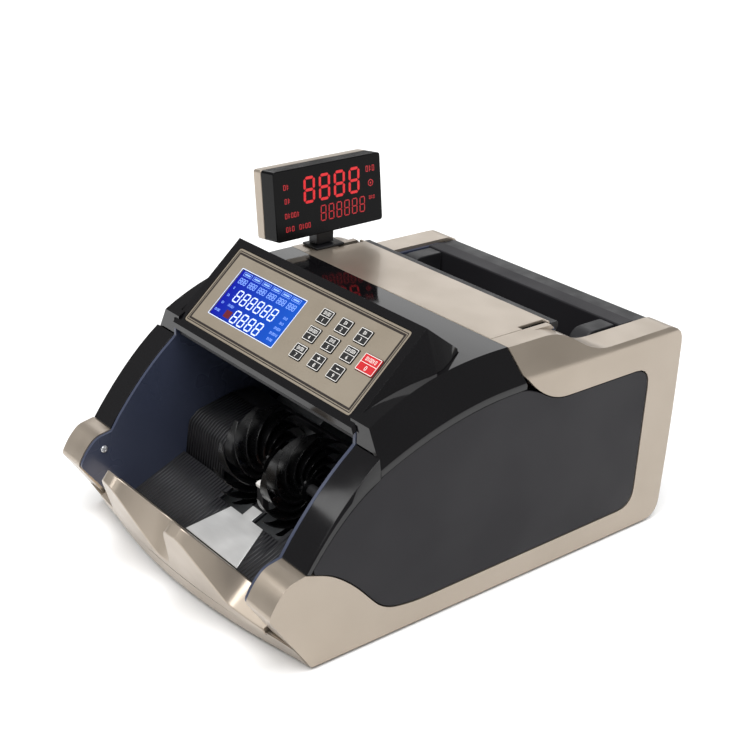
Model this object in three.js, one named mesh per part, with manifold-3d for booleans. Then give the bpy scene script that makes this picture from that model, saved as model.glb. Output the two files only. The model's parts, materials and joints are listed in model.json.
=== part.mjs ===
// Desktop banknote counter with a keypad hood, a hopper, a note stacker and a swivelling customer display.
// Machine frame: X to the machine's right, Y to its back, Z up, millimetres.
// Y = 0 is the front bottom corner of the side shells and Z = 0 their bottom edge.
import * as THREE from 'three';
import Module from 'manifold-3d';
import { mergeVertices } from 'three/addons/utils/BufferGeometryUtils.js';

const wasm = await Module();
wasm.setup();

// ---------------------------------------------------------------- driving dimensions
const GAP = 0.3;                    // play between neighbouring pieces
const SKIN = 2.6;                   // wall of a moulded shell
const HALF = 130;                   // outer face of a side shell
const RIDGE = 117;                  // where the flat top turns into the side chamfer
const CHEEK = 105.4;                // inner face of the side shells, outside the side plates
const PLATE_IN = 102.5;             // inner face of a side plate
const PLATE_OUT = 105;              // outer face of a side plate
const BACK = 320.8;                 // back of the side shells
const TOP = 168.6;                  // flat top of the machine
const SHOULDER = 151.4;             // side shells beside the hopper
const FRONT_REACH = 45.32;          // how far the note stop leans out in front of Y = 0
const FOOT = 2.5;                   // rubber feet below the shells
const COVER_FRONT = 161;            // front edge of the top cover
const COVER_BACK = 215.3;           // back edge of the top cover
const SEAM = 101.6;                 // half width of the top cover
const STEP = 50;                    // where the top shell ends above the front arms

const FLOOR_TILT = 23.8;            // stacker floor, degrees, rising to the back
const FLOOR_AT = 11;                // height of the stacker floor's plane at Y = 0
const STOP_FOOT = 11.4;              // back of the note stop where it meets the floor, along the floor

const PAD_TILT = 42.1;              // keypad plate, degrees
const PAD_AT = [0, 76.2, 163.6];    // middle of the keypad plate
const PAD_SIZE = [190, 65];
const LCD_AT = [-40, 0];
const LCD_SIZE = [76, 39.2];
const KEY_SIZE = [11.6, 10.8];
const RED_KEY = { at: [82, 1.3], size: [16.4, 12.6] };
const KEY_COLUMNS = [22.6, 42.5, 62.4];
const KEY_ROWS = [15.7, 1.3, -13.1];

const SHAFTS = {                    // [Y, Z] of each turning axis, along X
  stacker: [70, 57], feed: [196, 92], pickup: [238, 98], pinch: [196, 128.4], motor: [150, 40],
};
const PULLEYS = { stacker: 14, feed: 16, pickup: 12, motor: 8 };
const FEED_R = 20;
const PINCH_R = 15.5;
const PICKUP_R = 18.4;
const PADDLE_R = 40;
const PADDLE_X = [8.5, 33.5];       // inner and outer end of a paddle wheel
const BELT_X = [-113, -108];        // the drive belt's two edges

const DISPLAY_YAW = 92;             // customer display turned to the machine's right side
const DISPLAY_TILT = 6.5;
const DISPLAY_SIZE = [101, 52];
const DISPLAY_DEPTH = [15, 9];      // front housing, rear shell
const POST_AT = [-109, 182];
const TILT_AXIS_Z = 184.5;

// ---------------------------------------------------------------- finishes
const finish = (color, roughness, metalness = 0) =>
  new THREE.MeshStandardMaterial({ color, roughness, metalness });
const GOLD = finish(0xbeb2a0, 0.38, 0.6);
const GLOSS_BLACK = finish(0x121214, 0.12);
const MATTE_BLACK = finish(0x1c1c1e, 0.6);
const SIDE_GREY = finish(0x3a3a3c, 0.55);
const SMOKED = finish(0x2a2f40, 0.2);
const STEEL = finish(0xc4c6c8, 0.3, 0.9);
const RUBBER = finish(0x17171a, 0.85);
const BROWN_RUBBER = finish(0x6b4436, 0.7);
const PAD_METAL = finish(0xaaa08e, 0.4, 0.5);
const KEY_BLACK = finish(0x151515, 0.5);
const KEY_RED = finish(0xd72838, 0.45);
const LCD_BLUE = finish(0x1c3fd0, 0.2);
const BOARD = finish(0x1d5a36, 0.6);
const ZINC = finish(0x9c9fa2, 0.4, 0.8);

// ---------------------------------------------------------------- shape helpers
const counter = new THREE.Group();
counter.position.set(0, (FRONT_REACH - BACK) / 2, FOOT);

function add(name, geometry, material, parent = counter) {
  const mesh = new THREE.Mesh(geometry, material);
  mesh.name = name;
  parent.add(mesh);
  return mesh;
}

// A closed outline from [a, b] or [a, b, corner radius] points.
function outline(points, holes = []) {
  const shape = new THREE.Shape();
  points.forEach(([a, b, r], i) => {
    const p = new THREE.Vector2(a, b);
    if (!r) {
      if (i === 0) shape.moveTo(a, b);
      else shape.lineTo(a, b);
      return;
    }
    const before = points[(i + points.length - 1) % points.length];
    const after = points[(i + 1) % points.length];
    const start = new THREE.Vector2(before[0] - a, before[1] - b).setLength(r).add(p);
    const end = new THREE.Vector2(after[0] - a, after[1] - b).setLength(r).add(p);
    if (i === 0) shape.moveTo(start.x, start.y);
    else shape.lineTo(start.x, start.y);
    shape.quadraticCurveTo(a, b, end.x, end.y);
  });
  shape.closePath();
  for (const hole of holes) shape.holes.push(hole);
  return shape;
}

function circle(a, b, r) {
  const path = new THREE.Shape();
  path.absarc(a, b, r, 0, Math.PI * 2);
  return path;
}

function extrude(shape, depth, curveSegments = 4) {
  return new THREE.ExtrudeGeometry(shape, { depth, bevelEnabled: false, curveSegments });
}

// Extrusions of a (y, z) outline along X, of an (x, z) outline along Y and of an (x, y) outline along Z.
const FROM_YZ = new THREE.Matrix4().set(0, 0, 1, 0, 1, 0, 0, 0, 0, 1, 0, 0, 0, 0, 0, 1);
const FROM_XZ = new THREE.Matrix4().set(1, 0, 0, 0, 0, 0, -1, 0, 0, 1, 0, 0, 0, 0, 0, 1);
function alongX(shape, x0, x1, segments) {
  return extrude(shape, x1 - x0, segments).applyMatrix4(FROM_YZ).translate(x0, 0, 0);
}
function alongY(shape, y0, y1, segments) {
  return extrude(shape, y1 - y0, segments).applyMatrix4(FROM_XZ).translate(0, y1, 0);
}
function alongZ(shape, z0, z1, segments) {
  return extrude(shape, z1 - z0, segments).translate(0, 0, z0);
}
function block(x0, x1, y0, y1, z0, z1) {
  return new THREE.BoxGeometry(x1 - x0, y1 - y0, z1 - z0)
    .translate((x0 + x1) / 2, (y0 + y1) / 2, (z0 + z1) / 2);
}
function rod([y, z], r, x0, x1, sides = 20) {
  const upright = new THREE.CylinderGeometry(r, r, x1 - x0, sides);
  return upright.rotateZ(-Math.PI / 2).translate((x0 + x1) / 2, y, z);
}

// Booleans.
function toSolid(geometry) {
  const bare = geometry.clone();
  bare.deleteAttribute('normal');
  bare.deleteAttribute('uv');
  const merged = mergeVertices(bare, 1e-4);
  const index = merged.index.array;
  const faces = [];
  for (let i = 0; i < index.length; i += 3) {
    const [a, b, c] = [index[i], index[i + 1], index[i + 2]];
    if (a !== b && b !== c && a !== c) faces.push(a, b, c);
  }
  const mesh = new wasm.Mesh({
    numProp: 3,
    vertProperties: new Float32Array(merged.attributes.position.array),
    triVerts: new Uint32Array(faces),
  });
  return new wasm.Manifold(mesh);
}
function toGeometry(solid) {
  const mesh = solid.getMesh();
  const geometry = new THREE.BufferGeometry();
  geometry.setAttribute('position', new THREE.BufferAttribute(new Float32Array(mesh.vertProperties), 3));
  geometry.setIndex(new THREE.BufferAttribute(new Uint32Array(mesh.triVerts), 1));
  return geometry;
}
const join = (...parts) => toGeometry(parts.map(toSolid).reduce((a, b) => a.add(b)));
const cut = (base, ...tools) => toGeometry(tools.map(toSolid).reduce((a, b) => a.subtract(b), toSolid(base)));
const common = (a, b) => toGeometry(toSolid(a).intersect(toSolid(b)));

// The same piece on the other side of X = 0.
function mirrored(geometry) {
  const copy = geometry.clone().scale(-1, 1, 1);
  if (!copy.index) copy.setIndex([...Array(copy.attributes.position.count).keys()]);
  const index = copy.index.array;
  for (let i = 0; i < index.length; i += 3) [index[i], index[i + 1]] = [index[i + 1], index[i]];
  copy.deleteAttribute('normal');
  return copy;
}

// A solid through equal loops of [x, y, z] points; cap gives a loop in two dimensions, for its end faces.
function loft(rings, cap) {
  const turned = THREE.ShapeUtils.isClockWise(cap(rings[0]));
  const loops = turned ? rings.map((ring) => [...ring].reverse()) : rings;
  const n = loops[0].length;
  const faces = [];
  for (let k = 0; k + 1 < loops.length; k++) {
    for (let i = 0; i < n; i++) {
      const j = (i + 1) % n;
      faces.push([k * n + i, (k + 1) * n + j, k * n + j], [k * n + i, (k + 1) * n + i, (k + 1) * n + j]);
    }
  }
  const last = (loops.length - 1) * n;
  for (const [a, b, c] of THREE.ShapeUtils.triangulateShape(cap(loops[0]), [])) faces.push([a, b, c]);
  for (const [a, b, c] of THREE.ShapeUtils.triangulateShape(cap(loops.at(-1)), [])) {
    faces.push([last + a, last + c, last + b]);
  }
  const points = loops.flat().map((p) => new THREE.Vector3(...p));
  const volume = faces.reduce((sum, [a, b, c]) =>
    sum + points[a].dot(points[b].clone().cross(points[c])), 0);
  const geometry = new THREE.BufferGeometry();
  geometry.setAttribute('position', new THREE.BufferAttribute(new Float32Array(loops.flat(2)), 3));
  geometry.setIndex(faces.flatMap(([a, b, c]) => (volume > 0 ? [a, b, c] : [a, c, b])));
  return geometry;
}
const capXZ = (loop) => loop.map(([x, , z]) => new THREE.Vector2(x, z));

// A belt's or guard's outline: the convex hull of circles [y, z, r].
function hullOutline(circles, grow = 0, steps = 24) {
  const points = circles.flatMap(([y, z, r]) =>
    Array.from({ length: steps }, (_, i) => {
      const a = (i / steps) * Math.PI * 2;
      return [y + (r + grow) * Math.cos(a), z + (r + grow) * Math.sin(a)];
    }));
  points.sort((p, q) => p[0] - q[0] || p[1] - q[1]);
  const turn = (o, p, q) => (p[0] - o[0]) * (q[1] - o[1]) - (p[1] - o[1]) * (q[0] - o[0]);
  const chain = (list) => {
    const kept = [];
    for (const p of list) {
      while (kept.length > 1 && turn(kept.at(-2), kept.at(-1), p) <= 1e-6) kept.pop();
      kept.push(p);
    }
    return kept.slice(0, -1);
  };
  return outline([...chain(points), ...chain([...points].reverse())]);
}

// ---------------------------------------------------------------- the body's curves
const frontArc = (y) => {            // front of the black arms, Y -5.5 to 50
  const t = (y + 5.5) / 53.5;
  return 67.3 + 59 * t + 18.5 * t * (1 - t);
};
const topLine = (y) => TOP - 2.02e-4 * Math.abs(160 - Math.min(y, 160)) ** 2.5;
const chamferLine = (y) => 146 - 0.002 * (165 - Math.min(y, 165)) ** 2;
const armChamfer = (y) => frontArc(y) - 1.6 - 0.0027 * y * y;
const range = (from, to, steps) => Array.from({ length: steps + 1 },
  (_, i) => from + ((to - from) * i) / steps);

// Edge between the gold shell and the black side, from the top ridge round to the front arc.
const SIDE_EDGE = [
  [161, TOP], [166.5, 151.5], [178.5, 138.5, 9], [197, 127.2, 12], [289.6, 127.2, 15], [287.2, 17.4, 15],
  [82, 15.6, 10], [56, 19.5, 12], [31, 47.5, 11], [14, 60.5, 9], [-5.4, 67.4],
];
const FRONT_EDGE = [[-17.5, 65, 4], [-25.5, 57, 6], [-31.5, 46.2, 3], [0, 0, 1.5]];
const shellOutline = (inset) => [
  [BACK - 4 - inset, inset, 14], [BACK - inset, 77, 45], [BACK - inset, SHOULDER - inset, 14],
  [234, SHOULDER - inset, 14], [208, TOP - inset, 14],
];

// ---------------------------------------------------------------- side shells
function sideShell() {
  const outer = outline([...SIDE_EDGE, ...FRONT_EDGE, ...shellOutline(0)]);
  const body = alongX(outer, CHEEK, HALF, 5);
  const strip = alongX(outline([[COVER_FRONT, TOP - 3], [COVER_FRONT, TOP], [211, TOP], [214, TOP - 3]]),
    SEAM, CHEEK + 1);
  // chamfer from the ridge out to the side face
  const chamfer = (grow) => alongY(outline([
    [RIDGE - grow * 0.4, TOP + 1.6 - grow], [HALF + 2, 143.7 - grow * 1.6], [HALF + 30, 143],
      [HALF + 30, 200],
    [RIDGE - grow * 0.4, 200]]), 120, 340);
  const hollow = cut(alongX(outline([
    [COVER_FRONT - 20, TOP - SKIN], [166, 100], [296, 60], [280, 24], [60, 4 + SKIN], [6, SKIN],
      ...shellOutline(SKIN),
  ]), CHEEK - 1, HALF - SKIN, 3), chamfer(SKIN));
  const frontCavity = alongX(outline([
    [10, 40], [24, 8], [50, 9], [40, 22], [26, 40], [6, 54], [-10, 58], [-20, 50]]), CHEEK - 1,
      HALF - SKIN, 3);
  const shell = cut(join(body, strip), chamfer(0), hollow, frontCavity);
  return shell;
}

// ---------------------------------------------------------------- black top shell and arms
function topShell() {
  const loops = range(STEP, COVER_FRONT - GAP, 12).map((y) => {
    const lag = (x) => (y > 140 ? ((y - 140) / 20.7) * Math.max(0, x - RIDGE) * 0.6 : 0);
    const [zt, zc] = [topLine(y), chamferLine(y)];
    const half = [[RIDGE, zt], [HALF - 1, zc + 1.2], [HALF, zc - 1], [HALF, zc - 4], [HALF - SKIN, zc - 4],
      [HALF - SKIN, zc - 1.6], [RIDGE - 1.5, zt - SKIN]];
    const right = half.map(([x, z]) => [x, y + lag(x), z]);
    const left = half.map(([x, z]) => [-x, y + lag(x), z]).reverse();
    return [...right.slice(0, 6), right[6], ...left];
  });
  return loft(loops, capXZ);
}

function frontArm() {
  const stations = [...range(-5, STEP - GAP, 10)];
  const loops = stations.map((y) => {
    const [z, zc] = [frontArc(y), armChamfer(y)];
    return [[CHEEK, y, z], [CHEEK, y, z - 14], [CHEEK + SKIN, y, z - 14], [CHEEK + SKIN, y, z - SKIN - 1.2],
      [HALF - SKIN - 1, y, z - SKIN - 1.2], [HALF - SKIN, y, zc - 2.6], [HALF - SKIN, y, zc - 5],
        [HALF, y, zc - 5], [HALF, y, zc],
      [HALF - 1.4, y, z - 0.2]];
  });
  const above = outline([[-4.8, 67.8], [14.3, 61.1, 9], [31.4, 48.2, 11], [56.4, 20.2], [90, 20],
    [90, 150], [-4.8, 150]]);
  return common(loft(loops, capXZ), alongX(above, CHEEK - 1, HALF + 1, 5));
}

// Dark grey insert that fills the side.
function sidePanel() {
  const arc = [...range(1, 45, 6).map((y) => [y, armChamfer(y) - 6]),
    ...range(52, 158, 8).map((y) => [y, chamferLine(y) - 4.5])];
  return alongX(outline([
    ...arc, [165.8, 141.4], [178, 138, 8], [196.8, 126.6, 12], [289, 126.6, 15], [286.6, 18, 15],
      [82.2, 16.2, 10],
    [56.4, 20.2, 12], [31.6, 48.1, 11], [14.4, 61.1, 9], [2, 65],
  ]), HALF - SKIN + 0.3, HALF - 0.3, 4);
}

// ---------------------------------------------------------------- keypad hood
const PAD_SLOPE = Math.tan(THREE.MathUtils.degToRad(PAD_TILT));
const HOOD_FRONT = 47.6;
const HOOD_CREST = 104.6;
const HOOD_BACK = 131;
const padPlane = (y) => PAD_AT[2] + (y - PAD_AT[1]) * PAD_SLOPE + 0.6;

// The hood's outer body, grown or shrunk by a wall; its sides spread from the face down to the top shell.
function hoodBody(grow, depth) {
  const stations = [...range(HOOD_FRONT, HOOD_CREST, 8), ...range(HOOD_CREST + 6, HOOD_BACK, 3)];
  stations[0] -= grow;
  stations[stations.length - 1] += grow;
  const loops = stations.map((y) => {
    const crest = padPlane(HOOD_CREST);
    const back = (y - HOOD_CREST) / (HOOD_BACK - HOOD_CREST);
    const zt = (y <= HOOD_CREST ? padPlane(y) : crest - 20 * back) + grow * 1.35;
    const zb = Math.min(topLine(y) - depth, zt - 4);
    const spread = y <= HOOD_CREST ? 0.473 * (padPlane(y) - zb) : 0.473 * 30 - 12.5 * back ** 1.6;
    const [wt, wb] = [103 + grow, Math.min(103 + spread, 116.4) + grow];
    return [[-wb, y, zb], [wb, y, zb], [wt, y, zt], [-wt, y, zt]];
  });
  return loft(loops, capXZ);
}

function padFrame(parent = counter) {
  const frame = new THREE.Group();
  frame.position.set(...PAD_AT);
  frame.rotation.x = THREE.MathUtils.degToRad(PAD_TILT);
  parent.add(frame);
  return frame;
}
const padMatrix = () => {
  const frame = padFrame(new THREE.Group());
  frame.updateMatrix();
  return frame.matrix;
};
const rounded = (w, h, r, [x, y] = [0, 0]) => outline([
  [x - w / 2, y - h / 2, r], [x + w / 2, y - h / 2, r], [x + w / 2, y + h / 2, r],
    [x - w / 2, y + h / 2, r]]);
const KEYS = [
  ...KEY_ROWS.flatMap((y, row) => KEY_COLUMNS.map(
    (x, col) => ({ name: `key_${row * 3 + col + 1}`, at: [x, y], size: KEY_SIZE }))),
  { name: 'key_0', ...RED_KEY },
];

function keypadHousing() {
  const recessOutline = rounded(PAD_SIZE[0] + 2 * GAP, PAD_SIZE[1] + 2 * GAP, 2.5);
  const recess = alongZ(recessOutline, -2.3, 6, 2).applyMatrix4(padMatrix());
  const window = alongZ(rounded(PAD_SIZE[0] - 8, PAD_SIZE[1] - 8, 2.5), -12, 6, 2).applyMatrix4(padMatrix());
  const floor = block(-96, 96, HOOD_FRONT + 3, HOOD_BACK - 4, 100, 141);
  return cut(hoodBody(0, 5), hoodBody(-3, 14), floor, recess, window);
}

function keypad() {
  const frame = padFrame();
  const plate = rounded(...PAD_SIZE, 2.2);
  for (const { at, size } of KEYS) plate.holes.push(rounded(size[0] + 0.8, size[1] + 0.8, 1, at));
  plate.holes.push(rounded(...LCD_SIZE, 1, LCD_AT));
  add('keypad_plate', alongZ(plate, -2, 0, 2), PAD_METAL, frame);
  for (const { name, at, size } of KEYS) {
    add(name, alongZ(rounded(...size, 0.9, at), -4, 0.8, 2), name === 'key_0' ? KEY_RED : KEY_BLACK, frame);
  }
  const [w, h] = LCD_SIZE;
  const lens = alongZ(rounded(w - 0.8, h - 0.8, 0.8, LCD_AT), -3, -0.5, 2);
  const module = alongZ(rounded(w + 8, h + 8, 1, LCD_AT), -9, -2.4, 2);
  add('lcd_module', join(lens, module), LCD_BLUE, frame);
}

// ---------------------------------------------------------------- stacker
function floorFrame(parent = counter) {
  const frame = new THREE.Group();
  frame.position.set(0, 0, FLOOR_AT);
  frame.rotation.x = THREE.MathUtils.degToRad(FLOOR_TILT);
  parent.add(frame);
  frame.updateMatrix();
  return frame;
}

// Note stop: half of its two-eared top edge as [x, height above the floor], along its front and its
// back face.
const STOP_FRONT = [[0, 20], [9, 21], [32, 67], [48.5, 67], [72, 21], [102.2, 14]];
const STOP_BACK = [[0, 37], [9, 39], [32, 70], [48.5, 71], [72, 25.5], [102.2, 16]];
const stopFrontFace = (x) => -19.5 + 6.96e-4 * x * x;
const stopBackFace = (v) => STOP_FOOT - 0.315 * v;
const STATION = 2.555;              // spacing of the note stop's cross-sections
const CORNER = 3.4;                 // half the width over which the top edge's corners are rounded

function heightAt(points, x) {
  const k = points.findIndex((p, i) => i > 0 && (x <= p[0] || i === points.length - 1));
  const [[x0, v0], [x1, v1]] = [points[k - 1], points[k]];
  return v0 + ((v1 - v0) * (x - x0)) / (x1 - x0);
}
const roundedHeight = (points, x) =>
  range(-CORNER, CORNER, 8).reduce((sum, d) => sum + heightAt(points, Math.abs(x + d)), 0) / 9;

const STOP_STATIONS = range(-40, 40, 80).map((i) => i * STATION);
const stopFoot = (x) => 14.2 - 4.2 * (x / 102.2) ** 2;        // lower edge of its front face, on the bumper
const capUV = (loop) => loop.map(([, u, v]) => new THREE.Vector2(u, v));

function noteStop() {
  return loft(STOP_STATIONS.map((x) => {
    const [front, back] = [roundedHeight(STOP_FRONT, x), roundedHeight(STOP_BACK, x)];
    const near = stopFrontFace(x);
    const profile = [[near, stopFoot(x)], [near, front], [stopBackFace(back), back],
      [stopBackFace(0.3), 0.3], [near + 8, 0.3]];
    return profile.map(([u, v]) => [x, u, v]);
  }), capUV);
}

function stacker() {
  const frame = floorFrame();
  add('note_stop', noteStop(), GOLD, frame);
  const slot = (side) => block(side > 0 ? 6.5 : -35.5, side > 0 ? 35.5 : -6.5, 44.8, 70, -8, 8);
  const sheet = block(-102.2, 102.2, STOP_FOOT + GAP, 57.6, -2.6, 0);
  add('stacker_floor', cut(sheet, slot(1), slot(-1)), MATTE_BLACK, frame);
  add('stacker_plate', alongZ(outline([
    [-31.8, 12], [31.8, 12], [19.5, 44.3], [5.5, 44.3], [5.5, 54], [-5.5, 54], [-5.5, 44.3],
      [-19.5, 44.3]]), 0.3, 1.1), STEEL, frame);

  const step = outline([
    [54.2, 30], [57.8, 57.6, 4], [65.7, 64.5, 4], [96, 71], [115, 71], [115, 66], [97, 66], [67, 61.6, 3],
    [60.6, 56.4, 3], [57, 30]]);
  const sides = [alongX(step, 55, 102.2), alongX(step, -102.2, -55)];
  add('stacker_back', join(...sides, block(-56, 56, 111.4, 115, 66, 71)), MATTE_BLACK);
  add('stacker_hood', alongX(outline([[52.5, 128], [55.5, 128], [60, 131], [118, 113], [118, 116],
    [56, 136.5], [52.5, 134]]),
    -102.2, 102.2), MATTE_BLACK);

  add('front_bumper', frontBumper(frame.matrix), GOLD);
}

// Bowed bar under the note stop; it leans as the front of the side shells does.
const LEAN = 0.682;
function frontBumper(floorMatrix) {
  const sections = range(-20, 20, 40).map((i) => {
    const x = i * 6.38;
    const bow = (1 - (x / HALF) ** 2) ** 1.25;
    const [low, high] = [0.4 + 3.4 * bow, 16.5];
    const face = (z) => -GAP - LEAN * z - (17.6 - 0.36 * z) * bow;
    return [[x, face(low), low], [x, face(high), high], [x, 0.4 - LEAN * high, high + 0.1],
      [x, 0.4 - LEAN * low, low - 0.1]];
  });
  const room = loft(STOP_STATIONS.map((x) => x * 1.004).map((x) => {
    const [near, foot] = [stopFrontFace(x) - GAP, stopFoot(x) - GAP];
    return [[x, near, foot], [x, near, 90], [x, 60, 90], [x, 60, -1], [x, near + 7.6, -1]];
  }), capUV).applyMatrix4(floorMatrix);
  const lean = new THREE.Matrix4().makeShear(0, 0, 0, 0, 0, -LEAN);
  const cheeks = [-1, 1].map((s) =>
    block(s > 0 ? PLATE_OUT : -HALF - 5, s > 0 ? HALF + 5 : -PLATE_OUT, -0.28, 10, -5, 30)
      .applyMatrix4(lean));
  return cut(loft(sections, (loop) => loop.map(([, y, z]) => new THREE.Vector2(y, z))), room, ...cheeks);
}

// A paddle wheel: curved flexible vanes on a hub.
function paddleWheel(x0, x1) {
  const [hub, vanes, half, sweep] = [9, 10, 0.8, 1.05];
  const points = [];
  for (let k = 0; k < vanes; k++) {
    const start = (k / vanes) * Math.PI * 2;
    const spine = range(0, 1, 5).map((t) => [hub - 0.5 + (PADDLE_R - hub + 0.5) * t,
      start + sweep * t ** 1.5, half * (1.5 - t)]);
    for (const [r, a, w] of spine) points.push([r * Math.cos(a - w / r), r * Math.sin(a - w / r)]);
    for (const [r, a, w] of [...spine].reverse()) {
      points.push([r * Math.cos(a + w / r), r * Math.sin(a + w / r)]);
    }
    const middle = start + Math.PI / vanes;
    points.push([hub * Math.cos(middle), hub * Math.sin(middle)]);
  }
  const [y, z] = SHAFTS.stacker;
  return alongX(outline(points.map(([a, b]) => [a + y, b + z]), [circle(y, z, 4 + GAP)]), x0, x1, 6);
}

function pulley([y, z], r, bore) {
  const [x0, x1] = BELT_X;
  return alongX(outline(range(0, 1, 20).slice(0, -1).map((t) =>
    [y + r * Math.cos(t * Math.PI * 2), z + r * Math.sin(t * Math.PI * 2)]), [circle(y, z, bore)]), x0,
      x1, 5);
}

function driveTrain() {
  const { stacker: S, feed: F, pickup: P, pinch: N, motor: M } = SHAFTS;
  add('stacker_shaft', join(rod(S, 4, -115, 104), rod(S, 7.5, -7.5, 7.5)), STEEL);
  add('paddle_wheel_right', paddleWheel(...PADDLE_X), RUBBER);
  add('paddle_wheel_left', paddleWheel(-PADDLE_X[1], -PADDLE_X[0]), RUBBER);
  add('stacker_pulley', pulley(S, PULLEYS.stacker, 4 + GAP), ZINC);
  const drums = (axis, r, spans) => spans.map(([a, b]) => rod(axis, r, a, b, 28));
  const wheel = (axis, r) => rod(axis, r, ...BELT_X, 24);
  add('feed_roller', join(rod(F, 5, -114, 104), ...drums(F, FEED_R, [[12, 52], [-52, -12]]),
    wheel(F, PULLEYS.feed)), RUBBER);
  add('pickup_roller', join(rod(P, 4, -114, 104), ...drums(P, PICKUP_R, [[20, 40], [-40, -20]]),
    wheel(P, PULLEYS.pickup)), RUBBER);
  add('pinch_roller', join(rod(N, 3, -104, 104), rod(N, PINCH_R, -32, 32, 28)), BROWN_RUBBER);
  add('drive_motor', rod(M, 24, -98, -42, 28), ZINC);
  add('motor_pulley', join(rod(M, 3, -114, -98.4), wheel(M, PULLEYS.motor)), ZINC);
  const circles = (grow) => ['stacker', 'feed', 'pickup', 'motor'].map(
    (k) => [...SHAFTS[k], PULLEYS[k] + grow]);
  const loop = hullOutline(circles(2.2));
  loop.holes.push(hullOutline(circles(0.5)));
  add('drive_belt', alongX(loop, BELT_X[0] + 0.4, BELT_X[1] - 0.4), RUBBER);
}

// ---------------------------------------------------------------- side plates, hopper, transport
function sidePlate() {
  const front = [...range(2, 46, 6).map((y) => [y, frontArc(y) - 0.4]), [49.4, 127.4]];
  const top = [[49.4, 135], ...range(56, 158, 6).map((y) => [y, topLine(y) - 6])];
  const shape = outline([
    [1.2, 4], [298, 4], [298, 149], [222, 149], [216, 165.2], ...top.reverse(), ...front.reverse(),
    [-5, 66.8], [-17, 64.4, 4], [-25, 56.5, 6], [-30.6, 46.2, 3]]);
  for (const axis of ['stacker', 'feed', 'pickup', 'pinch', 'motor']) {
    shape.holes.push(circle(...SHAFTS[axis], { feed: 5.3, pinch: 3.3, motor: 3.3 }[axis] ?? 4.3));
  }
  return alongX(shape, PLATE_IN, PLATE_OUT, 10);
}

function hopper() {
  const floorAt = (y) => 112 + (y - 214) * 0.163;
  const chuteFloor = alongX(outline([
    [213, 109.2], [284.4, floorAt(284.4) - 2.6], [284.4, floorAt(284.4)], [213, 111.8]]), -102.2, 102.2);
  const lip = alongX(outline([
    [215.6, 118.5], [218.2, 118.5], [218.2, 157, 2], [223.2, 162.4, 2], [223.2, 167, 1.5],
      [215.6, 167, 1.5]]), -101.2, 101.2);
  const web = outline([[214, 109.6], [284.4, 121], [284.4, 147.6], [226, 147.6], [221, 157], [215.6, 157]]);
  const webs = [alongX(web, 99.6, 102.2), alongX(web, -102.2, -99.6)];
  const well = (side) => block(side > 0 ? 18.5 : -41.5, side > 0 ? 41.5 : -18.5, 219, 257, 90, 125);
  add('hopper_chute', cut(join(chuteFloor, lip, ...webs), well(1), well(-1)), MATTE_BLACK);
  add('hopper_rear_bar', alongX(outline([
    [285, 116], [287.6, 116], [287.6, 147.4], [299.6, 147.4], [299.6, 150, 1], [285, 150, 1.5]]), -102.2,
      102.2), SIDE_GREY);
  const guide = alongX(outline([
    [247, floorAt(247) + GAP], [283.6, floorAt(283.6) + GAP], [283.6, 149.4], [257, 149.4, 6],
      [247, 134, 6]]), 85, 99);
  add('hopper_guide_right', guide, MATTE_BLACK);
  add('hopper_guide_left', mirrored(guide), MATTE_BLACK);

  add('sensor_bridge', alongX(outline([[113, 101], [176, 116.6], [176, 126], [113, 109]]), -98, 98),
    MATTE_BLACK);
  add('path_guide', alongX(outline([[112.6, 88], [172, 104], [172, 106.8], [112.6, 91.4]]), -98, 98),
    MATTE_BLACK);
  const cover = block(-SEAM + GAP, SEAM - GAP, COVER_FRONT + GAP, COVER_BACK - GAP, 158, TOP);
  const under = block(-SEAM + 3, SEAM - 3, COVER_FRONT + 2.6, COVER_BACK + 5, 150, TOP - 2.2);
  const sideSlots = [-1, 1].map((s) => block(s > 0 ? 96.6 : -110, s > 0 ? 110 : -96.6, 190, 213, 150, 180));
  add('top_cover', cut(cover, under, ...sideSlots), GOLD);
}

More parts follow.
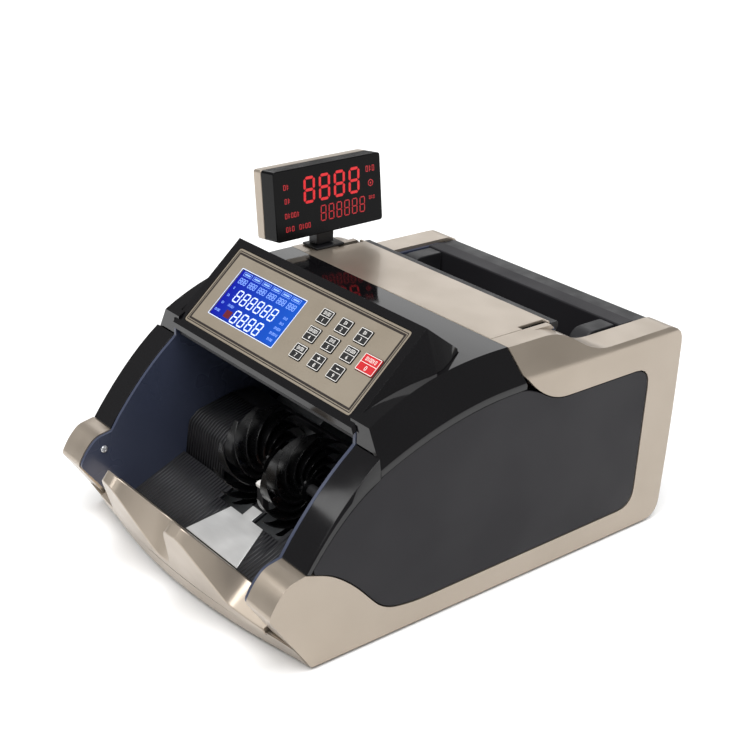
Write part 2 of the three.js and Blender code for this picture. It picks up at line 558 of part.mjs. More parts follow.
// ---------------------------------------------------------------- base, electrics and back
function baseAndBack() {
  add('base_pan', block(-105, 105, 1.6, 314.4, 0.4, 3), ZINC);
  for (const [name, x, y] of [['front_left', -88, 24], ['front_right', 88, 24], ['rear_left', -88, 288],
    ['rear_right', 88, 288]]) {
    add(`foot_${name}`, new THREE.CylinderGeometry(8, 8, FOOT, 16).rotateX(Math.PI / 2)
      .translate(x, y, -FOOT / 2), RUBBER);
  }
  const parts = [[20, 40, 210, 230, 18], [50, 60, 205, 240, 12], [72, 90, 250, 270, 22],
    [24, 60, 255, 275, 11]];
  add('main_board', join(block(12, 98, 195, 295, 8, 9.6),
    ...parts.map(([a, b, c, d, h]) => block(a, b, c, d, 9, h))), BOARD);
  add('power_supply', join(block(-98, -12, 195, 295, 8, 9.6), block(-84, -40, 210, 258, 9, 46)), ZINC);

  const hinge = 54;
  const inlet = { x: -70, z: 28, w: 28.6, h: 21 };
  const rocker = { x: -34, z: 28, w: 14, h: 22 };
  const opening = ({ x, z, w, h }, play) => block(x - w / 2 - play, x + w / 2 + play, 300, 330,
    z - h / 2 - play, z + h / 2 + play);
  const rim = block(-104.8, 104.8, 312, 316, 3.6, hinge - 0.6);
  add('rear_panel', cut(rim, opening(inlet, GAP), opening(rocker, 0.6)), MATTE_BLACK);
  add('rear_door', alongX(outline([
    [313, hinge], [316, hinge], [316, 148.8, 3], [300.2, 148.8], [300.2, 146.2], [313, 146.2]]), -104.8,
      104.8), MATTE_BLACK);
  const { x, z, w, h } = inlet;
  const recess = block(x - 12, x + 12, 304, 330, z - 8.2, z + 8.2);
  const pins = [[-7, -3], [0, 0], [7, -3]].map(([a, b]) => block(x + a - 1, x + a + 1, 302, 316,
    z + b - 2, z + b + 2));
  const flange = block(x - w / 2 - 2, x + w / 2 + 2, 316.3, 318, z - h / 2 - 2, z + h / 2 + 2);
  const box = block(x - w / 2, x + w / 2, 300, 317, z - h / 2, z + h / 2);
  add('mains_inlet', join(cut(join(box, flange), recess), ...pins), MATTE_BLACK);
  add('power_switch', alongX(outline([
    [306, rocker.z - 9], [317.4, rocker.z - 10.6], [316.4, rocker.z], [318.6, rocker.z + 10.6],
      [306, rocker.z + 9]]),
    rocker.x - 6.6, rocker.x + 6.6), GLOSS_BLACK);
}

// ---------------------------------------------------------------- customer display
function display() {
  const [x, y] = POST_AT;
  add('display_socket', block(x - 7.6, x + 11, y - 12, y + 14, TOP + GAP, TOP + 2), MATTE_BLACK);
  const swivel = new THREE.Group();
  swivel.position.set(x, y, 0);
  swivel.rotation.z = THREE.MathUtils.degToRad(DISPLAY_YAW);
  counter.add(swivel);
  const stem = block(-8, 8, -5, 5, TOP + 2.4, TILT_AXIS_Z);
  add('display_post', join(stem, rod([0, TILT_AXIS_Z], 5, -8, 8, 20)), MATTE_BLACK, swivel);

  const head = new THREE.Group();
  head.position.set(0, 0, TILT_AXIS_Z);
  head.rotation.x = THREE.MathUtils.degToRad(-DISPLAY_TILT);
  swivel.add(head);
  const [w, h] = DISPLAY_SIZE;
  const [dFront, dBack] = DISPLAY_DEPTH;
  const [low, high] = [-3.5, h - 3.5];
  const joint = dFront - 12;
  const face = (inset) => outline([
    [-w / 2 + inset, low + inset, 2.5], [w / 2 - inset, low + inset, 2.5], [w / 2 - inset, high - inset, 2.5],
    [-w / 2 + inset, high - inset, 2.5]]);
  const notch = block(-9.4, 9.4, -7, 7, low - 5, 6.6);
  const bezel = cut(alongY(face(0), -12, joint, 3), alongY(face(2.2), -8, joint + 1, 3), notch);
  add('display_bezel', bezel, GLOSS_BLACK, head);
  const shell = cut(alongY(face(0), joint + GAP, joint + dBack, 3),
    alongY(face(2.2), joint, joint + dBack - 2.2, 3), notch);
  add('display_shell', shell, GOLD, head);
}

const shell = sideShell();
add('side_shell_right', shell, GOLD);
add('side_shell_left', mirrored(shell), GOLD);
const cheekWall = alongY(outline([[CHEEK, 128.4], [125, 128.4], [RIDGE, 141], [CHEEK, 141]]), STEP,
  STEP + SKIN);
const top = join(topShell(), cheekWall, mirrored(cheekWall));
const roofWindow = block(-99, 99, STEP - 5, 127, 120, 175);
add('top_shell', cut(top, roofWindow, hoodBody(0.5, 5)), GLOSS_BLACK);
const arm = frontArm();
add('side_arm_right', arm, GLOSS_BLACK);
add('side_arm_left', mirrored(arm), GLOSS_BLACK);
add('side_panel_right', sidePanel(), SIDE_GREY);
add('side_panel_left', mirrored(sidePanel()), SIDE_GREY);
add('side_plate_right', sidePlate(), SMOKED);
add('side_plate_left', mirrored(sidePlate()), SMOKED);
add('keypad_housing', keypadHousing(), GLOSS_BLACK);
keypad();
stacker();
driveTrain();
hopper();
baseAndBack();
display();

export default counter;
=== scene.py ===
import json
import math

import bmesh
import bpy
from mathutils import Matrix, Vector


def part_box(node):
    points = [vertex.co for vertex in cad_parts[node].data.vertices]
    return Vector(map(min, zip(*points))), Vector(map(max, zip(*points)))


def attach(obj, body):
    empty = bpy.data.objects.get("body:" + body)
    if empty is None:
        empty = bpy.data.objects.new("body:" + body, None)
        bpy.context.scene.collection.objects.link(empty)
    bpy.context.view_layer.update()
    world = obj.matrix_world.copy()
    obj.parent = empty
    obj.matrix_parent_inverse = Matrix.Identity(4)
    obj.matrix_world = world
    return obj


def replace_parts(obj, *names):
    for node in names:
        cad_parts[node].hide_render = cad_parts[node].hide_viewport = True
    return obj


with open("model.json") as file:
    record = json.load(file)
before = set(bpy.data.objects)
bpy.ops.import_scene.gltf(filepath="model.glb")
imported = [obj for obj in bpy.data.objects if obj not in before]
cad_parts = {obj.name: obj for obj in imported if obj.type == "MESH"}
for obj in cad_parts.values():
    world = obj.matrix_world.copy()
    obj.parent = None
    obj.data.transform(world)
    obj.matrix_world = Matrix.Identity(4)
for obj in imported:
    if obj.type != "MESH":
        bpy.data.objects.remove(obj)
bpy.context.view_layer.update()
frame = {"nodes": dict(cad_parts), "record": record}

MM = 0.001
NODES = frame["nodes"]
BODY_OF = {n: b for b, names in frame["record"]["behaviour"]["bodies"].items() for n in names}
SLOT_OF = {s["node"]: s["material_slot"] for s in frame["record"]["subparts"]}


def move(x, y, z):
    return Matrix.Translation((x, y, z))


def turn(degrees, axis):
    return Matrix.Rotation(math.radians(degrees), 4, axis)


# ------------------------------------------------------------------ places, in millimetres
SHELL_LOW, SHELL_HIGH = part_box("side_shell_right")
BACK = 320.8                                 # back of the side shells, from their front bottom corner
SHIFT = Vector((0, SHELL_HIGH.y - BACK * MM, SHELL_LOW.z))
MACHINE = Matrix.Translation(SHIFT) @ Matrix.Scale(MM, 4)
FLOOR = MACHINE @ move(0, 0, 11) @ turn(23.8, "X")
PAD = MACHINE @ move(0, 76.2, 163.6) @ turn(42.1, "X")
POST = (-109, 182, 184.5)
HEAD = MACHINE @ move(*POST) @ turn(92, "Z") @ turn(-6.5, "X")
UPRIGHT = turn(90, "X")                      # a sheet's own normal turned to the front, -Y
FACE = HEAD @ move(0, -12, 0) @ UPRIGHT
REAR = 316                                   # outer face of the rear panel and its door
SHAFT = (70, 57)                             # y and z of the paddle wheels' axis
LCD_AT, LCD_SIZE = (-40, 0), (76, 39.2)
KEY_SIZE = (11.6, 10.8)
RED_AT, RED_SIZE = (82, 1.3), (16.4, 12.6)
KEY_COLUMNS = (22.6, 42.5, 62.4)
KEY_ROWS = (15.7, 1.3, -13.1)
RIB_PITCH = 3.3
FACETS = 48                                  # round a turned part
MERGE = 1.5e-5                               # vertices closer than this are one, in metres
LEVEL = math.radians(0.3)                    # facets closer than this are one flat face


# ------------------------------------------------------------------ materials
def linear(r, g, b):
    """A colour given as sRGB 0 to 255."""
    def one(c):
        c /= 255
        return c / 12.92 if c <= 0.04045 else ((c + 0.055) / 1.055) ** 2.4
    return (one(r), one(g), one(b), 1)


class Paint:
    """A principled material whose colour, roughness and relief come from noise in object space."""

    def __init__(self, name, colour, rough, metallic=0.0, coat=0.0, specular=0.5):
        self.mat = bpy.data.materials.new(name)
        self.mat.use_nodes = True
        self.tree = self.mat.node_tree
        self.shader = self.tree.nodes["Principled BSDF"]
        self.shader.inputs["Base Color"].default_value = colour
        self.shader.inputs["Roughness"].default_value = rough
        self.shader.inputs["Metallic"].default_value = metallic
        self.shader.inputs["Coat Weight"].default_value = coat
        self.shader.inputs["Coat Roughness"].default_value = 0.04
        self.shader.inputs["Specular IOR Level"].default_value = specular
        self.coords = self.tree.nodes.new("ShaderNodeTexCoord")
        self.colour, self.height = colour, None

    def noise(self, scale, detail=3, stretch=(1, 1, 1)):
        mapping = self.tree.nodes.new("ShaderNodeMapping")
        mapping.inputs["Scale"].default_value = stretch
        tex = self.tree.nodes.new("ShaderNodeTexNoise")
        tex.inputs["Scale"].default_value = scale
        tex.inputs["Detail"].default_value = detail
        self.tree.links.new(self.coords.outputs["Object"], mapping.inputs["Vector"])
        self.tree.links.new(mapping.outputs["Vector"], tex.inputs["Vector"])
        return tex.outputs["Fac"]

    def ranged(self, source, low, high, at=(0.35, 0.65)):
        node = self.tree.nodes.new("ShaderNodeMapRange")
        node.inputs["From Min"].default_value, node.inputs["From Max"].default_value = at
        node.inputs["To Min"].default_value, node.inputs["To Max"].default_value = low, high
        self.tree.links.new(source, node.inputs["Value"])
        return node.outputs["Result"]

    def blend(self, other, factor):
        """Runs from the first colour to the other one by a factor socket."""
        mix = self.tree.nodes.new("ShaderNodeMix")
        mix.data_type = "RGBA"
        mix.inputs["A"].default_value = self.colour
        mix.inputs["B"].default_value = other
        self.tree.links.new(factor, mix.inputs["Factor"])
        self.tree.links.new(mix.outputs["Result"], self.shader.inputs["Base Color"])
        return mix.outputs["Result"]

    def vary_colour(self, other, scale, amount=1.0, detail=3, stretch=(1, 1, 1)):
        self.blend(other, self.ranged(self.noise(scale, detail, stretch), 0, amount))
        return self

    def along_x(self, other, low, high):
        """Runs from the first colour to the other one from left to right, and glows in the same colours."""
        split = self.tree.nodes.new("ShaderNodeSeparateXYZ")
        self.tree.links.new(self.coords.outputs["Object"], split.inputs["Vector"])
        mixed = self.blend(other, self.ranged(split.outputs["X"], 0, 1, (low, high)))
        self.tree.links.new(mixed, self.shader.inputs["Emission Color"])
        return self

    def vary_rough(self, low, high, scale):
        source = self.ranged(self.noise(scale, 2), low, high)
        self.tree.links.new(source, self.shader.inputs["Roughness"])
        return self

    def relief(self, source, strength, distance):
        bump = self.tree.nodes.new("ShaderNodeBump")
        bump.inputs["Strength"].default_value = strength
        bump.inputs["Distance"].default_value = distance
        self.tree.links.new(source, bump.inputs["Height"])
        if self.height is not None:
            self.tree.links.new(self.height, bump.inputs["Normal"])
        self.height = bump.outputs["Normal"]
        self.tree.links.new(self.height, self.shader.inputs["Normal"])
        return self

    def glow(self, colour, strength):
        self.shader.inputs["Emission Color"].default_value = colour
        self.shader.inputs["Emission Strength"].default_value = strength
        return self


def gold_paint():
    p = Paint("champagne_gold", linear(176, 164, 150), 0.3, metallic=0.7, coat=0.2)
    p.vary_colour(linear(167, 155, 140), 18, 0.5)
    p.vary_rough(0.3, 0.4, 30)
    p.relief(p.noise(2600, 2), 0.05, 0.0002)
    return p.relief(p.noise(160, 2), 0.03, 0.0004).mat


def gloss_black():
    p = Paint("piano_black", linear(11, 10, 12), 0.06)
    p.vary_colour(linear(16, 15, 17), 12, 0.6)
    p.vary_rough(0.05, 0.12, 25)
    return p.relief(p.noise(120, 2), 0.02, 0.0003).mat


def display_black():
    p = Paint("display_black", linear(8, 8, 9), 0.1, specular=0.12)
    p.vary_colour(linear(12, 12, 13), 15, 0.6)
    p.vary_rough(0.08, 0.16, 30)
    return p.relief(p.noise(150, 2), 0.02, 0.0003).mat


def textured_black():
    p = Paint("fine_textured_black", linear(24, 24, 27), 0.48)
    p.vary_colour(linear(32, 32, 35), 40, 0.7)
    p.vary_rough(0.42, 0.56, 60)
    return p.relief(p.noise(3000, 3), 0.18, 0.0002).mat


def side_grey():
    p = Paint("dark_grey_side", linear(41, 40, 43), 0.5, specular=0.2)
    p.vary_colour(linear(37, 36, 39), 9, 0.8, detail=5)
    p.vary_rough(0.44, 0.58, 14)
    return p.relief(p.noise(3500, 3), 0.15, 0.0002).mat


def smoked():
    p = Paint("smoked_plate", linear(62, 68, 88), 0.3, metallic=0.1, coat=0.1)
    p.vary_colour(linear(56, 62, 80), 6, 0.5)
    p.vary_rough(0.26, 0.34, 30)
    return p.relief(p.noise(1500, 1), 0.03, 0.0001).mat


def steel(name="bright_steel", tone=(226, 226, 225), rough=0.34):
    p = Paint(name, linear(*tone), rough, metallic=0.6)
    p.vary_colour(linear(*(c - 16 for c in tone)), 30, 0.5, stretch=(1, 6, 1))
    p.vary_rough(rough - 0.06, rough + 0.1, 50)
    return p.relief(p.noise(700, 2, (1, 12, 1)), 0.06, 0.0002).mat


def rubber(name, tone):
    p = Paint(name, linear(*tone), 0.62)
    p.vary_colour(linear(*(c + 9 for c in tone)), 70, 0.7)
    p.vary_rough(0.54, 0.7, 80)
    return p.relief(p.noise(1800, 3), 0.2, 0.0003).mat


def vane_rubber():
    p = Paint("moulded_vane_rubber", linear(9, 9, 10), 0.26)
    p.vary_colour(linear(15, 15, 16), 90, 0.6)
    p.vary_rough(0.2, 0.36, 110)
    return p.relief(p.noise(1500, 2), 0.08, 0.0002).mat


def pad_metal():
    p = Paint("keypad_overlay", linear(146, 136, 121), 0.42, metallic=0.25)
    p.vary_colour(linear(140, 129, 113), 25, 0.6)
    p.vary_rough(0.38, 0.5, 60)
    return p.relief(p.noise(2200, 2), 0.08, 0.0002).mat


def key_cap(name, tone):
    p = Paint(name, linear(*tone), 0.4)
    p.vary_colour(linear(*(min(255, c + 10) for c in tone)), 120, 0.6)
    p.vary_rough(0.34, 0.48, 150)
    return p.relief(p.noise(2600, 2), 0.08, 0.0002).mat


def ink(name, tone):
    p = Paint(name, linear(*tone), 0.5)
    p.vary_colour(linear(*(max(0, c - 14) for c in tone)), 300, 0.5)
    return p.relief(p.noise(4000, 2), 0.05, 0.0001).mat


def lcd_blue():
    p = Paint("lcd_glass", linear(6, 10, 138), 0.14, specular=0.3)
    p.along_x(linear(16, 74, 170), -0.08, 0.0)
    p.vary_rough(0.1, 0.18, 200)
    p.relief(p.noise(5000, 1), 0.02, 0.0001)
    p.shader.inputs["Emission Strength"].default_value = 0.22
    return p.mat


def lit(name, tone, strength):
    p = Paint(name, linear(*tone), 0.4)
    p.vary_colour(linear(*(max(0, c - 20) for c in tone)), 500, 0.5)
    return p.glow(linear(*tone), strength).mat


def board_green():
    p = Paint("circuit_board", linear(24, 84, 48), 0.45)
    p.vary_colour(linear(16, 62, 36), 260, 0.9, stretch=(1, 8, 1))
    p.vary_rough(0.35, 0.6, 200)
    return p.relief(p.noise(500, 4), 0.3, 0.0004).mat


LOOKS = {
    "shell_gold": gold_paint(),
    "gloss_black": gloss_black(),
    "matte_black": textured_black(),
    "side_grey": side_grey(),
    "smoked": smoked(),
    "steel": steel(),
    "zinc": steel("zinc_plate", (160, 163, 166), 0.4),
    "rubber": rubber("black_rubber", (20, 20, 22)),
    "brown_rubber": rubber("brown_rubber", (106, 66, 50)),
    "pad_metal": pad_metal(),
    "key_black": key_cap("key_black_cap", (22, 22, 23)),
    "key_red": key_cap("key_red_cap", (190, 26, 34)),
    "lcd": lcd_blue(),
    "board": board_green(),
}
WHITE_INK = ink("white_ink", (236, 234, 230))
BROWN_INK = ink("brown_ink", (34, 26, 20))
LCD_WHITE = lit("lcd_segments", (206, 220, 255), 0.35)
LCD_PALE = lit("lcd_small_marks", (124, 160, 236), 0.35)
LCD_RED = lit("lcd_patch", (96, 8, 30), 0.1)
LED_RED = lit("led_segments", (205, 34, 40), 0.55)
LED_DIM = lit("led_marks", (176, 32, 40), 0.45)
VANE = vane_rubber()
DISPLAY_BLACK = display_black()
DARK_SHAFT = steel("dark_shaft", (84, 84, 86), 0.36)
OWN_LOOK = {"display_bezel": DISPLAY_BLACK, "stacker_shaft": DARK_SHAFT}
EDGE_STEEL = steel("polished_edge", (214, 216, 220), 0.2)


# ------------------------------------------------------------------ mesh helpers
def placed(name, data):
    obj = bpy.data.objects.new(name, data)
    bpy.context.scene.collection.objects.link(obj)
    return obj


def piece(name, verts, faces, mat, body, slot, matrix, smooth=True):
    mesh = bpy.data.meshes.new(name)
    mesh.from_pydata([tuple(v) for v in verts], [], faces)
    mesh.transform(matrix)
    bm = bmesh.new()
    bm.from_mesh(mesh)
    bmesh.ops.recalc_face_normals(bm, faces=bm.faces)
    bm.to_mesh(mesh)
    bm.free()
    mesh.materials.append(mat)
    mesh.polygons.foreach_set("use_smooth", [smooth] * len(mesh.polygons))
    obj = placed(name, mesh)
    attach(obj, body)
    return obj


def skin(rows, around, start=0, closed=False):
    """Quads between loops of equal length, and from the last loop back to the first if closed."""
    faces = []
    for n in range(rows if closed else rows - 1):
        p, q = start + n * around, start + (n + 1) % rows * around
        faces += [(p + i, p + (i + 1) % around, q + (i + 1) % around, q + i) for i in range(around)]
    return faces


def turned(profile, start=0):
    """A closed profile of (radius, x) turned about the paddle wheels' shaft."""
    y0, z0 = SHAFT
    verts = [(x, y0 + r * math.cos(i / FACETS * math.tau), z0 + r * math.sin(i / FACETS * math.tau))
             for r, x in profile for i in range(FACETS)]
    return verts, skin(len(profile), FACETS, start, closed=True)


def edge_round(obj, width, angle=28, segments=3, planar=False):
    """Welds the mesh, merges its flat facets and rounds its sharp edges by width, in millimetres."""
    mods = obj.modifiers
    weld = mods.new("weld", "WELD")
    weld.merge_threshold = MERGE
    if planar:
        flat = mods.new("flat", "DECIMATE")
        flat.decimate_type = "DISSOLVE"
        flat.angle_limit = LEVEL
    bevel = mods.new("edge", "BEVEL")
    bevel.width = width * MM
    bevel.segments = segments
    bevel.limit_method = "ANGLE"
    bevel.angle_limit = math.radians(angle)
    bevel.use_clamp_overlap = True
    bevel.harden_normals = True
    normals = mods.new("normals", "WEIGHTED_NORMAL")
    normals.keep_sharp = True
    return obj


class Sheet:
    """Flat shapes in one plane, raised by a small height and kept in one mesh."""

    def __init__(self, height=0.12, base=0.0):
        self.verts, self.faces, self.base, self.height = [], [], base, height

    def add(self, loop):
        n, k = len(loop), len(self.verts)
        for z in (self.base, self.base + self.height):
            self.verts += [(x, y, z) for x, y in loop]
        self.faces += [tuple(range(k, k + n))[::-1], tuple(range(k + n, k + 2 * n))]
        self.faces += [(k + i, k + (i + 1) % n, k + n + (i + 1) % n, k + n + i) for i in range(n)]
        return self

    def ring(self, outer, inner):
        n, k = len(outer), len(self.verts)
        for z in (self.base, self.base + self.height):
            self.verts += [(x, y, z) for x, y in outer] + [(x, y, z) for x, y in inner]
        for i in range(n):
            j = (i + 1) % n
            a, b, c, d = k + i, k + j, k + n + j, k + n + i
            self.faces += [(a, b, c, d)[::-1], (a + 2 * n, b + 2 * n, c + 2 * n, d + 2 * n)]
            self.faces += [(a, b, b + 2 * n, a + 2 * n), (d, c, c + 2 * n, d + 2 * n)[::-1]]
        return self

    def make(self, name, mat, body, slot, matrix):
        return piece(name, self.verts, self.faces, mat, body, slot, matrix, smooth=False)


def box_loop(x, y, w, h, r=0.0, steps=5):
    """A rectangle centred on x, y, with rounded corners if r is given."""
    corners = [(1, -1), (1, 1), (-1, 1), (-1, -1)]
    if r <= 0:
        return [(x + sx * w / 2, y + sy * h / 2) for sx, sy in corners[-1:] + corners[:-1]]
    loop = []
    for k, (sx, sy) in enumerate(corners):
        cx, cy = x + sx * (w / 2 - r), y + sy * (h / 2 - r)
        for i in range(steps + 1):
            a = math.radians(-90 + 90 * k + 90 * i / steps)
            loop.append((cx + r * math.cos(a), cy + r * math.sin(a)))
    return loop


def circle(x, y, r, steps=24):
    return [(x + r * math.cos(i * math.tau / steps), y + r * math.sin(i * math.tau / steps))
            for i in range(steps)]


def frame_ring(sheet, x, y, w, h, thick, r):
    inner = box_loop(x, y, w - 2 * thick, h - 2 * thick, max(r - thick, 0.15))
    sheet.ring(box_loop(x, y, w, h, r), inner)


def eight(sheet, x, y, w, h, t, slant, gap):
    """The seven bars of a digit display, all lit; t is a bar's thickness."""
    half = t / 2

    def bar(ax, ay, bx, by):
        length = math.hypot(bx - ax, by - ay)
        ux, uy = (bx - ax) / length, (by - ay) / length
        # along the bar from its pointed end, and across it
        outline = [(gap, 0), (gap + half, half), (length - gap - half, half),
                   (length - gap, 0), (length - gap - half, -half), (gap + half, -half)]
        loop = [(ax + ux * s - uy * c, ay + uy * s + ux * c) for s, c in outline]
        sheet.add([(x + px + py * slant, y + py) for px, py in loop][::-1])
    rx, ry = w / 2 - half, h / 2 - half
    for level in (-ry, 0, ry):
        bar(-rx, level, rx, level)
    for side in (-rx, rx):
        bar(side, -ry, side, 0)
        bar(side, 0, side, ry)


def character(text, size, x, y, height, base):
    """A digit as vertices and faces in a sheet's plane, centred on x, y."""
    curve = bpy.data.curves.new("glyph", "FONT")
    curve.body = text
    curve.size = size
    curve.extrude = height / 2
    curve.align_x, curve.align_y = "CENTER", "CENTER"
    obj = placed("glyph", curve)
    bpy.context.view_layer.update()
    mesh = bpy.data.meshes.new_from_object(obj.evaluated_get(bpy.context.evaluated_depsgraph_get()))
    xs = [v.co.x for v in mesh.vertices]
    ys = [v.co.y for v in mesh.vertices]
    cx, cy = (min(xs) + max(xs)) / 2, (min(ys) + max(ys)) / 2
    verts = [(v.co.x - cx + x, v.co.y - cy + y, v.co.z + base + height / 2) for v in mesh.vertices]
    faces = [tuple(p.vertices) for p in mesh.polygons]
    bpy.data.objects.remove(obj)
    return verts, faces


# ------------------------------------------------------------------ the CAD nodes that stay
EDGES = {                                    # how far each node's edges are rounded
    "top_shell": 0.9, "side_arm_right": 0.8, "side_arm_left": 0.8, "keypad_housing": 0.9,
    "top_cover": 0.5, "note_stop": 0.7, "front_bumper": 0.3, "display_bezel": 1.2, "display_shell": 1.2,
    "side_panel_right": 0.4, "side_panel_left": 0.4, "hopper_chute": 0.5, "hopper_rear_bar": 0.6,
    "hopper_guide_right": 0.8, "hopper_guide_left": 0.8, "rear_door": 0.8, "rear_panel": 0.4,
    "mains_inlet": 0.4, "power_switch": 0.5, "display_post": 0.6, "display_socket": 0.5,
    "stacker_back": 0.5, "stacker_floor": 0.3, "stacker_hood": 0.5, "keypad_plate": 0.2,
    "lcd_module": 0.15, "base_pan": 0.4, "stacker_pulley": 0.4, "motor_pulley": 0.4,
    "drive_motor": 0.8, "feed_roller": 0.5, "pickup_roller": 0.5, "pinch_roller": 0.5,
    "stacker_shaft": 0.3, "drive_belt": 0.2,
}
OTHER_EDGE = 0.25
EDGES.update({f"key_{i}": 0.35 for i in range(10)})
EDGES.update({f"foot_{a}_{b}": 0.7 for a in ("front", "rear") for b in ("left", "right")})
REPLACED = ("paddle_wheel_right", "paddle_wheel_left", "side_shell_right", "side_shell_left")


def soft_shell(word, side):
    """A side shell whose front corner rolls softly from the outer face into the front."""
    name = f"side_shell_{word}"
    roll, front, ground = 6.5, 12, 6         # the roll's size, and the crest's furthest y and lowest z
    mesh = NODES[name].data.copy()
    mesh.transform(NODES[name].matrix_world)
    bm = bmesh.new()
    bm.from_mesh(mesh)
    bmesh.ops.remove_doubles(bm, verts=bm.verts, dist=MERGE)
    bmesh.ops.dissolve_limit(bm, angle_limit=LEVEL, verts=bm.verts, edges=bm.edges)
    outer = SHELL_HIGH.x - 0.0002
    crest = []
    for edge in bm.edges:
        if len(edge.link_faces) != 2 or min(side * v.co.x for v in edge.verts) < outer:
            continue
        middle = sum((v.co for v in edge.verts), Vector()) / 2 - SHIFT
        normals = sorted((f.normal for f in edge.link_faces), key=lambda n: -side * n.x)
        ahead = normals[0].x * side > 0.99 and normals[1].y < -0.15
        if ahead and middle.y < front * MM and middle.z > ground * MM:
            crest.append(edge)
    bmesh.ops.bevel(bm, geom=crest, offset=roll * MM, offset_type="OFFSET", segments=7, profile=0.5,
                    affect="EDGES", clamp_overlap=True)
    bm.to_mesh(mesh)
    bm.free()
    obj = placed(f"soft_shell_{word}", mesh)
    mesh.materials.clear()
    mesh.materials.append(LOOKS["shell_gold"])
    mesh.polygons.foreach_set("use_smooth", [True] * len(mesh.polygons))
    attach(obj, "chassis")
    edge_round(obj, 0.9, angle=32)
    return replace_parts(obj, name)


def dress_nodes():
    for name, obj in NODES.items():
        if name in REPLACED:
            continue
        obj.data.materials.clear()
        obj.data.materials.append(OWN_LOOK.get(name, LOOKS[SLOT_OF[name]]))
        if "custom_normal" in obj.data.attributes:
            obj.data.attributes.remove(obj.data.attributes["custom_normal"])
        obj.data.polygons.foreach_set("use_smooth", [True] * len(obj.data.polygons))
        edge_round(obj, EDGES.get(name, OTHER_EDGE), planar=True)


# ------------------------------------------------------------------ stacker
def paddle_wheel(side):
    """A moulded rubber wheel: a hub with long, thin, leaf-shaped vanes that trail as it turns."""
    y0, z0 = SHAFT
    vanes, steps, sweep = 13, 18, -1.75
    bore, hub, reach = 4.4, 9.0, 38.5
    inner, outer = 11.0, 33.2                # the wheel's sides, from the middle of the machine
    root = hub - 0.6
    verts, faces = [], []
    for v in range(vanes):
        start, k = v / vanes * math.tau, len(verts)
        for i in range(steps + 1):
            t = i / steps
            r = root + (reach - root) * t
            a = start + sweep * t ** 1.15
            half = 1.15 - 0.75 * t
            narrow = max(0.0, (t - 0.3) / 0.7) ** 1.5
            x0, x1 = inner + 14 * narrow, outer - 5 * narrow
            for x, offset in ((x0, -half), (x1, -half), (x1, half), (x0, half)):
                b = a + offset / r
                verts.append((side * x, y0 + r * math.cos(b), z0 + r * math.sin(b)))
        faces += [(k, k + 1, k + 2, k + 3), tuple(k + 4 * steps + i for i in (3, 2, 1, 0))]
        faces += skin(steps + 1, 4, k)
    profile = [(bore, inner), (hub - 1, inner), (hub, inner + 1), (hub, outer - 1), (hub - 1, outer),
               (bore, outer)]
    hub_verts, hub_faces = turned([(r, side * x) for r, x in profile], len(verts))
    word = "right" if side > 0 else "left"
    obj = piece(f"paddle_vanes_{word}", verts + hub_verts, faces + hub_faces, VANE,
                BODY_OF["paddle_wheel_right"], "rubber", MACHINE)
    edge_round(obj, 0.22, angle=40, segments=2)
    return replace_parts(obj, f"paddle_wheel_{word}")


def ribs(name, tracks, matrix):
    """Rounded ribs along tracks of (x, points in the plane across it, outward normals)."""
    width, high = 1.5, 0.55
    section = [(-0.5, -0.3), (-0.5, 0.35), (-0.3, 0.85), (0, 1), (0.3, 0.85), (0.5, 0.35), (0.5, -0.3)]
    n = len(section)
    verts, faces = [], []
    for x, path in tracks:
        k = len(verts)
        for (a, b), (na, nb) in path:
            verts += [(x + s * width, a + na * h * high, b + nb * h * high) for s, h in section]
        last = k + (len(path) - 1) * n
        faces += skin(len(path), n, k)
        faces += [tuple(range(k, k + n)), tuple(range(last, last + n))[::-1]]
    return piece(name, verts, faces, LOOKS["matte_black"], "chassis", "matte_black", matrix)


def floor_ribs():
    """Ribs along the tray's floor, clear of the tapered bright plate and of the wheels' openings."""
    near, far, far_at_wheels = 12.4, 57, 44
    plate_front, plate_back, plate_length = 31.8, 19.5, 32.3         # half widths, and front to back
    count = int(100 / RIB_PITCH)
    tracks = []
    for i in range(-count, count + 1):
        x = i * RIB_PITCH
        size = abs(x)
        if size <= plate_back + 0.3:
            continue
        start, end = near, far_at_wheels if size < 36.4 else far
        if size < plate_front + 0.7:
            start = 12.6 + (plate_front - size) / (plate_front - plate_back) * plate_length + 1.2
        if end - start > 3:
            tracks.append((x, [((start, 0), (0, 1)), ((end, 0), (0, 1))]))
    ribs("stacker_floor_ribs", tracks, FLOOR)


def back_ribs():
    """Ribs that follow the two blocks behind the tray, 15 on each."""
    outline = [(54.5, 32.5), (57.4, 55.2), (58.1, 57.6), (59.6, 59.6), (64.4, 63.7), (66.4, 64.7),
               (72, 65.9), (95.5, 71)]
    path = []
    for i, point in enumerate(outline):
        a, b = outline[max(i - 1, 0)], outline[min(i + 1, len(outline) - 1)]
        dx, dy = b[0] - a[0], b[1] - a[1]
        length = math.hypot(dx, dy)
        path.append((point, (-dy / length, dx / length)))
    tracks = [(side * (56.4 + i * RIB_PITCH * 0.97), path) for side in (-1, 1) for i in range(15)]
    ribs("stacker_back_ribs", tracks, MACHINE)


